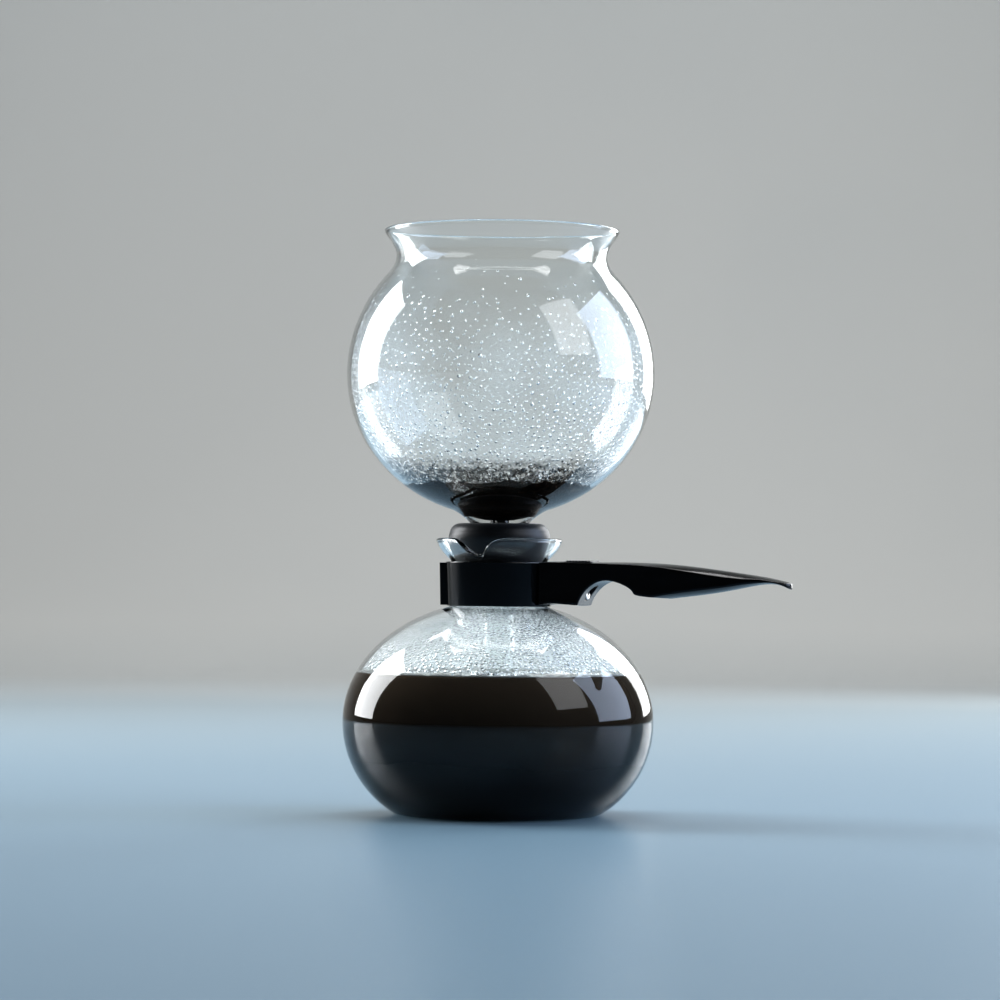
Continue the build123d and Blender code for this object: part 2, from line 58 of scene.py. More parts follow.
# carafe
BELLY_R = glass_hi.x
BELLY_Z = 45.5 * MM
SIDE_ARC = 52.0 * MM
BASE_BLEND = 10.0 * MM
SHOULDER_RISE = 59.5 * MM
NECK_R = 22.2 * MM
SHOULDER_END = math.acos((NECK_R + 2.4 * MM) / BELLY_R)
NECK_LOW = BELLY_Z + SHOULDER_RISE * math.sin(SHOULDER_END) + 3.0 * MM
LIP_Z = glass_hi.z
NECK_TOP = LIP_Z - 16.1 * MM
SPOUT_REACH = 6.8 * MM
SPOUT_DROP = 8.0 * MM
SPOUT_WIDTH = 7.1 * MM

# funnel
GLOBE_R = globe_hi.x
GLOBE_UP = 0.972 * GLOBE_R
GLOBE_DOWN = 0.923 * GLOBE_R
SEAL_TOP = seal_hi.z
GLOBE_Z = SEAL_TOP + 3.2 * MM + GLOBE_DOWN
MOUTH_NECK_R = 0.686 * GLOBE_R
MOUTH_NECK_Z = GLOBE_Z + 0.789 * GLOBE_UP
MOUTH_R = MOUTH_NECK_R + 5.9 * MM
MOUTH_Z = MOUTH_NECK_Z + 12.4 * MM
BELL_Z = SEAL_TOP - 11.6 * MM
BELL_ANGLE = math.radians(-71.5)
SHOULDER_ANGLE = math.radians(41.0)


# ------------------------------------------------------------------ curves
def hermite(p0, p1, t0, t1, n, ends=(True, True)):
    """Points of a cubic from p0 to p1 with tangent directions t0 and t1."""
    length = math.dist(p0, p1)
    h0 = math.hypot(*t0)
    h1 = math.hypot(*t1)
    t0 = [v / h0 * length for v in t0]
    t1 = [v / h1 * length for v in t1]
    out = []
    for k in range(n + 1):
        if (k == 0 and not ends[0]) or (k == n and not ends[1]):
            continue
        s = k / n
        a, b = 2 * s ** 3 - 3 * s ** 2 + 1, s ** 3 - 2 * s ** 2 + s
        c, d = -2 * s ** 3 + 3 * s ** 2, s ** 3 - s ** 2
        out.append(tuple(a * p0[i] + b * t0[i] + c * p1[i] + d * t1[i] for i in (0, 1)))
    return out


def arc(centre, radius, start, end, n, squash=1.0):
    """Points of an arc; angles in radians, squash scales the height."""
    return [(centre[0] + radius * math.cos(start + (end - start) * k / n),
             centre[1] + radius * squash * math.sin(start + (end - start) * k / n))
            for k in range(n + 1)]


def carafe_side(inset):
    """Outline of the carafe from its flat base to the neck, moved inwards by inset."""
    a = BELLY_R - inset
    b = SHOULDER_RISE - inset
    middle_r = BELLY_R - SIDE_ARC
    blend_c = middle_r + math.sqrt((SIDE_ARC - BASE_BLEND) ** 2 - (BELLY_Z - BASE_BLEND) ** 2)
    join_turn = math.atan2(BASE_BLEND - BELLY_Z, blend_c - middle_r)
    pts = [(0, inset), (blend_c * 0.33, inset), (blend_c * 0.66, inset)]
    pts += arc((blend_c, BASE_BLEND), BASE_BLEND - inset, -math.pi / 2, join_turn, 8)
    pts += arc((middle_r, BELLY_Z), SIDE_ARC - inset, join_turn, 0, 22)[1:]
    pts += arc((0, BELLY_Z), a, 0, SHOULDER_END, 44, b / a)[1:]
    last = SHOULDER_END
    pts += hermite(pts[-1], (NECK_R - inset, NECK_LOW),
                   (-a * math.sin(last), b * math.cos(last)), (0, 1), 8, (False, True))
    return pts


def inner_radius(pts):
    """Turns an outline into a function from height to radius."""
    zs = np.array([p[1] for p in pts])
    rs = np.array([p[0] for p in pts])
    order = np.argsort(zs, kind="stable")
    return lambda z: float(np.interp(z, zs[order], rs[order]))


def bell_side(inset):
    """Outline of the funnel's bell and globe from the tube up to the shoulder of the mouth."""
    a = GLOBE_R - inset
    down = GLOBE_DOWN - inset
    up = GLOBE_UP - inset
    tube = TUBE_R if inset == 0 else TUBE_R - TUBE_WALL
    end = (a * math.cos(BELL_ANGLE), GLOBE_Z + down * math.sin(BELL_ANGLE))
    heading = (-a * math.sin(BELL_ANGLE), down * math.cos(BELL_ANGLE))
    if inset == 0:
        middle = (TUBE_R + 6.8 * MM, SEAL_TOP + 0.6 * MM)
    else:
        middle = (TUBE_R + 5.3 * MM, SEAL_TOP + 1.7 * MM)
    slope = (1.0, 0.92)
    pts = hermite((tube, BELL_Z), middle, (0, 1), slope, 12)
    pts += hermite(middle, end, slope, heading, 10)[1:]
    pts += arc((0, GLOBE_Z), a, BELL_ANGLE, 0, 46, down / a)[1:]
    pts += arc((0, GLOBE_Z), a, 0, SHOULDER_ANGLE, 28, up / a)[1:]
    return pts


def mouth_side(inset):
    """Outline of the mouth from the globe's shoulder to just under the rim's bead."""
    a = GLOBE_R - inset
    up = GLOBE_UP - inset
    start = (a * math.cos(SHOULDER_ANGLE), GLOBE_Z + up * math.sin(SHOULDER_ANGLE))
    heading = (-a * math.sin(SHOULDER_ANGLE), up * math.cos(SHOULDER_ANGLE))
    waist = (MOUTH_NECK_R - inset, MOUTH_NECK_Z)
    rim = (MOUTH_R - inset * 0.93, MOUTH_Z)
    return (hermite(start, waist, heading, (-0.02, 1), 14, (False, True))
            + hermite(waist, rim, (-0.02, 1), (0.44, 0.90), 14, (False, True)))


carafe_inner = inner_radius(carafe_side(WALL))
bell_in = bell_side(WALL)
globe_inner = inner_radius(bell_in + mouth_side(WALL))


# ------------------------------------------------------------------ material helpers
def new_material(name):
    """A material with one Principled shader: the material, its nodes and the shader."""
    mat = bpy.data.materials.new(name)
    mat.use_nodes = True
    nt = mat.node_tree
    nt.nodes.clear()
    out = nt.nodes.new("ShaderNodeOutputMaterial")
    bsdf = nt.nodes.new("ShaderNodeBsdfPrincipled")
    nt.links.new(bsdf.outputs[0], out.inputs[0])
    return mat, nt, bsdf


def object_coords(nt, stretch=(1, 1, 1)):
    tc = nt.nodes.new("ShaderNodeTexCoord")
    if stretch == (1, 1, 1):
        return tc.outputs["Object"]
    mp = nt.nodes.new("ShaderNodeMapping")
    mp.inputs["Scale"].default_value = stretch
    nt.links.new(tc.outputs["Object"], mp.inputs["Vector"])
    return mp.outputs[0]


def noise(nt, scale, detail=4.0, rough=0.55, stretch=(1, 1, 1)):
    n = nt.nodes.new("ShaderNodeTexNoise")
    n.inputs["Scale"].default_value = scale
    n.inputs["Detail"].default_value = detail
    n.inputs["Roughness"].default_value = rough
    nt.links.new(object_coords(nt, stretch), n.inputs["Vector"])
    return n


def ramp(nt, source, stops):
    r = nt.nodes.new("ShaderNodeValToRGB")
    els = r.color_ramp.elements
    while len(els) < len(stops):
        els.new(0.5)
    for el, (pos, col) in zip(els, stops):
        el.position = pos
        el.color = (*col, 1)
    nt.links.new(source, r.inputs[0])
    return r


def spread(nt, source, low, high, from_low=0.0, from_high=1.0):
    m = nt.nodes.new("ShaderNodeMapRange")
    m.inputs["From Min"].default_value = from_low
    m.inputs["From Max"].default_value = from_high
    m.inputs["To Min"].default_value = low
    m.inputs["To Max"].default_value = high
    nt.links.new(source, m.inputs["Value"])
    return m


def maths(nt, op, a, b):
    m = nt.nodes.new("ShaderNodeMath")
    m.operation = op
    for i, v in enumerate((a, b)):
        if isinstance(v, (int, float)):
            m.inputs[i].default_value = v
        else:
            nt.links.new(v, m.inputs[i])
    return m.outputs[0]


def bump(nt, bsdf, height, strength, distance):
    b = nt.nodes.new("ShaderNodeBump")
    b.inputs["Strength"].default_value = strength
    b.inputs["Distance"].default_value = distance
    nt.links.new(height, b.inputs["Height"])
    nt.links.new(b.outputs[0], bsdf.inputs["Normal"])
    return b


def let_light_through(nt, bsdf, colour):
    """Lamps shine through the surface, as they do through thin clear glass."""
    out = next(n for n in nt.nodes if n.type == "OUTPUT_MATERIAL")
    lp = nt.nodes.new("ShaderNodeLightPath")
    clear = nt.nodes.new("ShaderNodeBsdfTransparent")
    clear.inputs["Color"].default_value = (*colour, 1)
    mix = nt.nodes.new("ShaderNodeMixShader")
    nt.links.new(lp.outputs["Is Shadow Ray"], mix.inputs[0])
    nt.links.new(bsdf.outputs[0], mix.inputs[1])
    nt.links.new(clear.outputs[0], mix.inputs[2])
    nt.links.new(mix.outputs[0], out.inputs[0])


# ------------------------------------------------------------------ materials
def glass_material():
    mat, nt, b = new_material("clear_glass")
    b.inputs["Base Color"].default_value = (0.975, 0.993, 0.988, 1)
    b.inputs["Transmission Weight"].default_value = 1.0
    b.inputs["IOR"].default_value = 1.47
    smear = noise(nt, 60.0, 3.0)
    rough = spread(nt, smear.outputs[0], 0.0, 0.012, 0.5, 0.8)
    nt.links.new(rough.outputs[0], b.inputs["Roughness"])
    waves = noise(nt, 16.0, 2.0)
    bump(nt, b, waves.outputs[0], 0.06, 0.0008)
    let_light_through(nt, b, (0.93, 0.95, 0.945))
    return mat


def plastic_material(name, base, rough_low, rough_high, grain, streaks=None, ior=1.5):
    mat, nt, b = new_material(name)
    n = noise(nt, 55.0, 5.0)
    tint = ramp(nt, n.outputs[0], [(0.3, base), (0.75, tuple(c * 1.5 for c in base))])
    nt.links.new(tint.outputs[0], b.inputs["Base Color"])
    wear = noise(nt, 240.0, 4.0, stretch=streaks or (1, 1, 1))
    r = spread(nt, wear.outputs[0], rough_low, rough_high, 0.3, 0.7)
    nt.links.new(r.outputs[0], b.inputs["Roughness"])
    fine = noise(nt, 1100.0, 3.0)
    bump(nt, b, fine.outputs[0], grain, 0.0002)
    b.inputs["IOR"].default_value = ior
    return mat


def silicone_material(name, base):
    mat, nt, b = new_material(name)
    n = noise(nt, 90.0, 5.0)
    tint = ramp(nt, n.outputs[0], [(0.3, base), (0.7, tuple(c * 1.35 for c in base))])
    nt.links.new(tint.outputs[0], b.inputs["Base Color"])
    r = spread(nt, n.outputs[0], 0.34, 0.5)
    nt.links.new(r.outputs[0], b.inputs["Roughness"])
    fine = noise(nt, 1500.0, 3.0)
    bump(nt, b, fine.outputs[0], 0.25, 0.0002)
    b.inputs["Sheen Weight"].default_value = 0.2
    b.inputs["Sheen Roughness"].default_value = 0.5
    b.inputs["IOR"].default_value = 1.43
    return mat


def steel_material():
    mat, nt, b = new_material("stainless_steel")
    b.inputs["Metallic"].default_value = 1.0
    n = noise(nt, 400.0, 4.0, stretch=(1, 1, 0.12))
    tint = ramp(nt, n.outputs[0], [(0.3, (0.55, 0.55, 0.56)), (0.7, (0.7, 0.7, 0.71))])
    nt.links.new(tint.outputs[0], b.inputs["Base Color"])
    r = spread(nt, n.outputs[0], 0.16, 0.34)
    nt.links.new(r.outputs[0], b.inputs["Roughness"])
    bump(nt, b, n.outputs[0], 0.15, 0.0001)
    return mat


def coffee_material(name, ior, low, high, z_low=0.0, z_high=1.0):
    """Dark liquid, from the colour low at z_low to the colour high at z_high; this change of colour
    with height is painted light and shade, not a change in the liquid.
    """
    mat, nt, b = new_material(name)
    tc = nt.nodes.new("ShaderNodeTexCoord")
    xyz = nt.nodes.new("ShaderNodeSeparateXYZ")
    nt.links.new(tc.outputs["Object"], xyz.inputs[0])
    height = spread(nt, xyz.outputs["Z"], 0.0, 1.0, z_low, z_high)
    n = noise(nt, 24.0, 3.0)
    cloud = maths(nt, "MULTIPLY", maths(nt, "SUBTRACT", n.outputs[0], 0.5), 0.25)
    tint = ramp(nt, maths(nt, "ADD", height.outputs[0], cloud), [(0.05, low), (0.95, high)])
    nt.links.new(tint.outputs[0], b.inputs["Base Color"])
    r = spread(nt, n.outputs[0], 0.015, 0.05)
    nt.links.new(r.outputs[0], b.inputs["Roughness"])
    b.inputs["IOR"].default_value = ior
    return mat


def grounds_material():
    mat, nt, b = new_material("wet_grounds")
    n = noise(nt, 420.0, 6.0, 0.7)
    tint = ramp(nt, n.outputs[0], [
        (0.30, (0.0025, 0.0013, 0.0008)), (0.52, (0.008, 0.0042, 0.0022)),
        (0.66, (0.030, 0.015, 0.007)), (0.80, (0.085, 0.045, 0.022))])
    nt.links.new(tint.outputs[0], b.inputs["Base Color"])
    r = spread(nt, n.outputs[0], 0.18, 0.6, 0.3, 0.7)
    nt.links.new(r.outputs[0], b.inputs["Roughness"])
    lumps = noise(nt, 900.0, 5.0, 0.6)
    bump(nt, b, lumps.outputs[0], 0.9, 0.0010)
    b.inputs["IOR"].default_value = 1.12
    return mat


def water_material():
    mat, nt, b = new_material("water_drops")
    b.inputs["Base Color"].default_value = (0.98, 0.99, 1.0, 1)
    b.inputs["Transmission Weight"].default_value = 1.0
    b.inputs["IOR"].default_value = 1.333
    n = noise(nt, 300.0, 2.0)
    r = spread(nt, n.outputs[0], 0.0, 0.03)
    nt.links.new(r.outputs[0], b.inputs["Roughness"])
    let_light_through(nt, b, (0.97, 0.98, 0.98))
    return mat


def veil_material(name, colour, scale, low, high, z_low, z_soft, z_top, z_top_soft, glow):
    """A thin film that hides what lies behind it by low to high, in cloudy patches. glow is how much
    of it passes on the light that falls on its far side."""
    mat, nt, b = new_material(name)
    n = noise(nt, scale, 5.0, 0.6)
    grain = noise(nt, scale * 14, 3.0, 0.6)
    tint = ramp(nt, grain.outputs[0], [(0.3, tuple(c * 0.82 for c in colour)), (0.7, colour)])
    nt.links.new(tint.outputs[0], b.inputs["Base Color"])
    tc = nt.nodes.new("ShaderNodeTexCoord")
    xyz = nt.nodes.new("ShaderNodeSeparateXYZ")
    nt.links.new(tc.outputs["Object"], xyz.inputs[0])
    fade_low = spread(nt, xyz.outputs["Z"], 0.0, 1.0, z_low, z_low + z_soft)
    fade_top = spread(nt, xyz.outputs["Z"], 1.0, 0.0, z_top - z_top_soft, z_top)
    cloud = spread(nt, n.outputs[0], low, high, 0.35, 0.7)
    cover = maths(nt, "MULTIPLY", cloud.outputs[0], fade_low.outputs[0])
    cover = maths(nt, "MULTIPLY", cover, fade_top.outputs[0])
    r = spread(nt, grain.outputs[0], 0.45, 0.7)
    nt.links.new(r.outputs[0], b.inputs["Roughness"])
    b.inputs["IOR"].default_value = 1.33
    behind = nt.nodes.new("ShaderNodeBsdfTranslucent")
    nt.links.new(tint.outputs[0], behind.inputs["Color"])
    both = nt.nodes.new("ShaderNodeMixShader")
    both.inputs[0].default_value = glow
    nt.links.new(b.outputs[0], both.inputs[1])
    nt.links.new(behind.outputs[0], both.inputs[2])
    clear = nt.nodes.new("ShaderNodeBsdfTransparent")
    mix = nt.nodes.new("ShaderNodeMixShader")
    nt.links.new(cover, mix.inputs[0])
    nt.links.new(clear.outputs[0], mix.inputs[1])
    nt.links.new(both.outputs[0], mix.inputs[2])
    out = next(n for n in nt.nodes if n.type == "OUTPUT_MATERIAL")
    nt.links.new(mix.outputs[0], out.inputs[0])
    return mat


glass = glass_material()
black_gloss = plastic_material("black_gloss_plastic", (0.0018, 0.0020, 0.0028), 0.07, 0.16, 0.05,
                               (1, 1, 0.1), 1.42)
black_handle = plastic_material("black_handle_plastic", (0.0018, 0.0020, 0.0027), 0.13, 0.24, 0.08,
                                (0.2, 1, 1), 1.36)
black_grip = plastic_material("black_grip_plastic", (0.005, 0.005, 0.006), 0.28, 0.42, 0.2)
filter_black = plastic_material("filter_plastic", (0.006, 0.006, 0.007), 0.25, 0.45, 0.2)
seal_mat = silicone_material("charcoal_silicone", (0.0036, 0.0044, 0.0068))
gasket_mat = silicone_material("gasket_silicone", (0.010, 0.011, 0.014))
liner_mat = silicone_material("liner_strip", (0.008, 0.008, 0.010))
mesh_mat = plastic_material("nylon_mesh", (0.2, 0.19, 0.17), 0.4, 0.6, 0.3)
steel = steel_material()
# painted light and shade: the coffee's brown is its own, but its lightening towards the top and its
# darkening to near black lower down are painted
coffee_mat = coffee_material("black_coffee", 1.14, (0.0012, 0.0008, 0.0006), (0.0400, 0.0300, 0.0215),
                             24 * MM, 66 * MM)
# painted highlight: the coffee's top is pale grey, palest where it climbs the glass and the tube, in
# place of the light it catches; the coffee itself is near black
surface_highlight_mat = coffee_material("coffee_surface", 1.36, (0.26, 0.26, 0.25), (0.42, 0.43, 0.43),
                              68.0 * MM, 69.8 * MM)
grounds_mat = grounds_material()
water = water_material()
fog_globe = veil_material("condensation_film", (0.80, 0.86, 0.90), 30.0, 0.01, 0.12,
                          158 * MM, 20 * MM, 262 * MM, 30 * MM, 0.35)
fog_carafe = veil_material("steam_film", (0.84, 0.90, 0.93), 55.0, 0.17, 0.33,
                           69 * MM, 2 * MM, 110 * MM, 3 * MM, 0.75)
residue = veil_material("coffee_residue", (0.030, 0.017, 0.008), 320.0, -0.45, 1.0,
                        162 * MM, 1 * MM, 174.5 * MM, 7 * MM, 0.3)

for name, mat in {
    "neck_liner": liner_mat, "collar_band": black_gloss, "handle": black_handle,
    "thumb_grip": black_grip, "clamp_yoke": steel, "clamp_screw": steel, "screw_washer": steel,
    "carafe_glass": glass, "funnel_globe": glass, "funnel_tube": glass,
    "seal": seal_mat, "filter_base": filter_black, "filter_gasket": gasket_mat,
    "filter_screen": mesh_mat, "filter_cap": filter_black, "filter_stem": filter_black,
    "filter_knob": filter_black,
}.items():
    ob = nodes[name]
    ob.data.materials.clear()
    ob.data.materials.append(mat)


# ------------------------------------------------------------------ mesh helpers
def mesh_object(name, verts, faces, mat, smooth=True):
    me = bpy.data.meshes.new(name)
    me.from_pydata([tuple(v) for v in verts], [], faces)
    me.validate()
    me.update()
    if smooth:
        me.polygons.foreach_set("use_smooth", [True] * len(me.polygons))
    ob = bpy.data.objects.new(name, me)
    bpy.context.scene.collection.objects.link(ob)
    ob.data.materials.append(mat)
    return ob


def lathe(name, profile, mat, steps=192, closed=False, place=None):
    """Revolves (radius, z) points about Z; a radius of 0 closes an end, closed joins last to first.
    place may move each point: place(index, radius, z, angle) gives the new radius and z."""
    verts, faces, ring_of = [], [], []
    for i, (r, z) in enumerate(profile):
        if r <= 1e-7:
            ring_of.append([len(verts)])
            verts.append((0, 0, z if place is None else place(i, r, z, 0)[1]))
            continue
        ring = []
        for k in range(steps):
            a = 2 * math.pi * k / steps
            rr, zz = (r, z) if place is None else place(i, r, z, a)
            ring.append(len(verts))
            verts.append((rr * math.cos(a), rr * math.sin(a), zz))
        ring_of.append(ring)
    pairs = list(zip(ring_of, ring_of[1:]))
    if closed:
        pairs.append((ring_of[-1], ring_of[0]))
    for lo, hi in pairs:
        for k in range(steps):
            k2 = (k + 1) % steps
            if len(lo) == 1:
                faces.append((lo[0], hi[k2], hi[k]))
            elif len(hi) == 1:
                faces.append((lo[k], lo[k2], hi[0]))
            else:
                faces.append((lo[k], lo[k2], hi[k2], hi[k]))
    return mesh_object(name, verts, faces, mat)


def bead(outer, inner, n=8, swell=1.0):
    """Half-round rim between the last outer and inner points, turned towards their normal."""
    (r0, z0), (r1, z1) = outer, inner
    cr, cz = (r0 + r1) / 2, (z0 + z1) / 2
    ax, az = (r0 - cr) * swell, (z0 - cz) * swell
    out = []
    for k in range(1, n):
        a = math.pi * k / n
        out.append((cr + ax * math.cos(a) - az * math.sin(a),
                    cz + az * math.cos(a) + ax * math.sin(a)))
    return out


# ------------------------------------------------------------------ funnel glass
# rows close together at both ends keep the shading of the straight tube even
tube_zs = [tube_lo.z + 0.6 * MM, tube_lo.z + 0.8 * MM, tube_lo.z + 1.2 * MM, 40 * MM, 90 * MM,
           BELL_Z - 1 * MM]
tube_out = [(TUBE_R, z) for z in tube_zs]
tube_in = [(TUBE_R - TUBE_WALL, z) for z in tube_zs]
outer = tube_out + bell_side(0) + mouth_side(0)
inner = tube_in + bell_in + mouth_side(WALL)
rim = bead(outer[-1], inner[-1], swell=1.08)
foot = [(TUBE_R - TUBE_WALL / 2 + TUBE_WALL / 2 * math.cos(math.pi + math.pi * k / 6),
         tube_lo.z + 0.6 * MM + 0.6 * MM * math.sin(math.pi + math.pi * k / 6)) for k in range(1, 6)]
funnel = lathe("funnel_glass_shell", outer + rim + inner[::-1] + foot, glass, steps=256, closed=True)
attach(funnel, "funnel")
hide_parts("funnel_globe", "funnel_tube")

# ------------------------------------------------------------------ carafe glass
LIP_ZS = [NECK_TOP, NECK_TOP + 1.2 * MM, NECK_TOP + 3.3 * MM, NECK_TOP + 5.8 * MM, NECK_TOP + 8.3 * MM,
          LIP_Z - 5.2 * MM, LIP_Z - 2.6 * MM, LIP_Z + 0.2 * MM]
LIP_OUT = [0, 0, 0.3 * MM, 1.5 * MM, 3.9 * MM, 6.2 * MM, 7.8 * MM, 8.7 * MM]
LIP_PULL = [0, 0, 0, 0.10, 0.68, 0.96, 1.04, 1.05]


def smooth_table(xs, ys):
    """Monotone cubic through a table."""
    xs, ys = np.array(xs), np.array(ys)
    d = np.diff(ys) / np.diff(xs)
    m = np.zeros(len(xs))
    for i in range(1, len(xs) - 1):
        m[i] = 0 if d[i - 1] * d[i] <= 0 else 2 * d[i - 1] * d[i] / (d[i - 1] + d[i])
    m[-1] = d[-1]

    def at(x):
        i = int(np.clip(np.searchsorted(xs, x) - 1, 0, len(xs) - 2))
        h = xs[i + 1] - xs[i]
        s = min(1.0, max(0.0, (x - xs[i]) / h))
        return float((2 * s ** 3 - 3 * s ** 2 + 1) * ys[i] + (s ** 3 - 2 * s ** 2 + s) * h * m[i]
                     + (-2 * s ** 3 + 3 * s ** 2) * ys[i + 1] + (s ** 3 - s ** 2) * h * m[i + 1])
    return at


lip_out = smooth_table(LIP_ZS, LIP_OUT)
lip_pull = smooth_table(LIP_ZS, LIP_PULL)


def lip_radius(z, a):
    away = abs((math.degrees(a) + 90 + 180) % 360 - 180)
    return NECK_R + lip_out(z) + lip_pull(z) * SPOUT_REACH * math.exp(-(away / 20.0) ** 2)


def rim_height(a):
    """Height of the rim: it dips where the lip is drawn out into the spout."""
    top = LIP_Z - 1.0 * MM
    if math.sin(a) > -0.3:
        return top
    z = top
    for _ in range(40):
        x = lip_radius(z, a) * math.cos(a)
        z = 0.5 * z + 0.5 * (top - SPOUT_DROP * math.exp(-(x / SPOUT_WIDTH) ** 2))
    return z


def carafe_rows(steps=288, lip_rows=22, bead_rows=7):
    """Rows of (radius, z) up the outside, over the rim's bead and down the inside."""
    side_out = [p for p in carafe_side(0) if p[0] > 0] + [(NECK_R, (NECK_LOW + NECK_TOP) / 2)]
    side_in = [p for p in carafe_side(WALL) if p[0] > 0] + [(NECK_R - WALL, (NECK_LOW + NECK_TOP) / 2)]
    rows_out = [[(r, z)] * steps for r, z in side_out]
    rows_in = [[(r, z)] * steps for r, z in side_in]
    lips = []
    for k in range(steps):
        a = 2 * math.pi * k / steps - math.pi
        top = rim_height(a)
        o, i = [], []
        for s in range(lip_rows + 1):
            z = NECK_TOP + (top - NECK_TOP) * s / lip_rows
            r = lip_radius(z, a)
            slope = (lip_radius(z + 0.1 * MM, a) - lip_radius(z - 0.1 * MM, a)) / (0.2 * MM)
            n = math.hypot(1, slope)
            o.append((r, z))
            flare = slope * slope / (1 + slope * slope)
            i.append((r - WALL / n * (1 + 0.35 * flare), z + 0.8 * WALL * slope / n))
        b = bead(o[-1], i[-1], bead_rows, 1.5)
        lips.append((o, b, i))
    for s in range(lip_rows + 1):
        rows_out.append([lips[k][0][s] for k in range(steps)])
        rows_in.append([lips[k][2][s] for k in range(steps)])
    rows_bead = [[lips[k][1][s] for k in range(steps)] for s in range(bead_rows - 1)]
    return rows_out + rows_bead + rows_in[::-1]


def rows_object(name, rows, mat, low_z, high_z):
    """A closed skin from rows of points, closed at both ends by a middle point."""
    steps = len(rows[0])
    verts = [(0, 0, low_z)]
    faces = []
    for row in rows:
        for k, (r, z) in enumerate(row):
            a = 2 * math.pi * k / steps - math.pi
            verts.append((r * math.cos(a), r * math.sin(a), z))
    verts.append((0, 0, high_z))
    at = lambda j, k: 1 + j * steps + k % steps
    last = len(verts) - 1
    for k in range(steps):
        faces.append((0, at(0, k + 1), at(0, k)))
        for j in range(len(rows) - 1):
            faces.append((at(j, k), at(j, k + 1), at(j + 1, k + 1), at(j + 1, k)))
        faces.append((at(len(rows) - 1, k), at(len(rows) - 1, k + 1), last))
    return mesh_object(name, verts, faces, mat)


carafe = rows_object("carafe_glass_shell", carafe_rows(), glass, 0.0, WALL)
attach(carafe, "carafe")
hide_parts("carafe_glass")


# ------------------------------------------------------------------ handle with softened edges
def softened(node_name, name, voxel, passes, mat):
    """A copy of a CAD part whose edges are rounded by a fine remesh and a light smoothing."""
    src = nodes[node_name]
    ob = bpy.data.objects.new(name, src.data.copy())
    bpy.context.scene.collection.objects.link(ob)
    ob.matrix_world = src.matrix_world
    rm = ob.modifiers.new("remesh", "REMESH")
    rm.mode = "VOXEL"
    rm.voxel_size = voxel
    sm = ob.modifiers.new("smooth", "SMOOTH")
    sm.factor = 0.5
    sm.iterations = passes
    dg = bpy.context.evaluated_depsgraph_get()
    me = bpy.data.meshes.new_from_object(ob.evaluated_get(dg))
    ob.modifiers.clear()
    ob.data = me
    me.materials.clear()
    me.materials.append(mat)
    me.polygons.foreach_set("use_smooth", [True] * len(me.polygons))
    return ob


grip = softened("handle", "handle_soft", 0.36 * MM, 7, black_handle)
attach(grip, "carafe")
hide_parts("handle")

# ------------------------------------------------------------------ coffee in the carafe
LEVEL = 69.0 * MM
SKIN = 0.10 * MM          # the liquid lies this far inside the glass, so no air shows between
wall_pts = [(r, z) for r, z in carafe_side(WALL) if r > 0 and z < LEVEL - 0.5 * MM]
profile = [(0, WALL - SKIN)] + [(r + SKIN, max(z, WALL - SKIN)) for r, z in wall_pts]
edge = carafe_inner(LEVEL)
profile += [(carafe_inner(LEVEL - 0.3 * MM) + SKIN, LEVEL - 0.3 * MM),
            (edge - 0.2 * MM, LEVEL - 0.3 * MM), (edge - 4 * MM, LEVEL - 0.6 * MM),
            (45 * MM, LEVEL - 0.6 * MM), (25 * MM, LEVEL - 0.6 * MM),
            (TUBE_R - 0.4 * MM, LEVEL - 0.6 * MM), (TUBE_R - 0.4 * MM, tube_lo.z - 0.4 * MM),
            (TUBE_R - TUBE_WALL + SKIN, tube_lo.z - 0.4 * MM),
            (TUBE_R - TUBE_WALL + SKIN, LEVEL - 0.2 * MM), (0, LEVEL - 0.5 * MM)]
coffee = lathe("coffee", profile, coffee_mat)
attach(coffee, "carafe")

surface_profile = [
    (TUBE_R - 0.35 * MM, LEVEL - 0.5 * MM), (edge - 5 * MM, LEVEL - 0.5 * MM),
    (edge + SKIN, LEVEL - 0.25 * MM), (carafe_inner(LEVEL + 0.7 * MM) + 0.04 * MM, LEVEL + 0.7 * MM),
    (edge - 0.45 * MM, LEVEL + 0.42 * MM), (edge - 1.2 * MM, LEVEL + 0.18 * MM),
    (edge - 2.6 * MM, LEVEL + 0.04 * MM), (edge - 4.5 * MM, LEVEL), (50 * MM, LEVEL), (35 * MM, LEVEL),
    (20 * MM, LEVEL), (TUBE_R + 4 * MM, LEVEL), (TUBE_R + 2 * MM, LEVEL + 0.12 * MM),
    (TUBE_R + 0.9 * MM, LEVEL + 0.5 * MM), (TUBE_R - 0.06 * MM, LEVEL + 1.3 * MM),
]


def ripple(i, r, z, a):
    """Makes the coffee's edge on the glass uneven; its crest moves more than its foot."""
    if i in (3, 4, 5):
        wave = 0.35 * math.sin(23 * a + 1) + 0.3 * math.sin(41 * a) + 0.25 * math.sin(67 * a + 2)
        z += wave * MM * (0.35 if i == 5 else 0.7)
    return r, z


surface = lathe("coffee_surface", surface_profile, surface_highlight_mat, steps=360, closed=True, place=ripple)
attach(surface, "carafe")


# ------------------------------------------------------------------ droplets on the glass
def dome(segments):
    """A flat-bottomed drop, radius 1, height 1, as vertices and faces."""
    levels = [(0.45, 0.90), (0.80, 0.60), (0.97, 0.25), (1.0, 0.0)]
    verts, faces = [(0, 0, 1)], []
    for rr, zz in levels:
        for k in range(segments):
            a = 2 * math.pi * k / segments
            verts.append((rr * math.cos(a), rr * math.sin(a), zz))
    for k in range(segments):
        k2 = (k + 1) % segments
        faces.append((0, 1 + k, 1 + k2))
        for lv in range(len(levels) - 1):
            a0, a1 = 1 + lv * segments, 1 + (lv + 1) * segments
            faces.append((a0 + k, a1 + k, a1 + k2, a0 + k2))
    last = 1 + (len(levels) - 1) * segments
    faces.append(tuple(last + k for k in reversed(range(segments))))
    return np.array(verts, float), faces


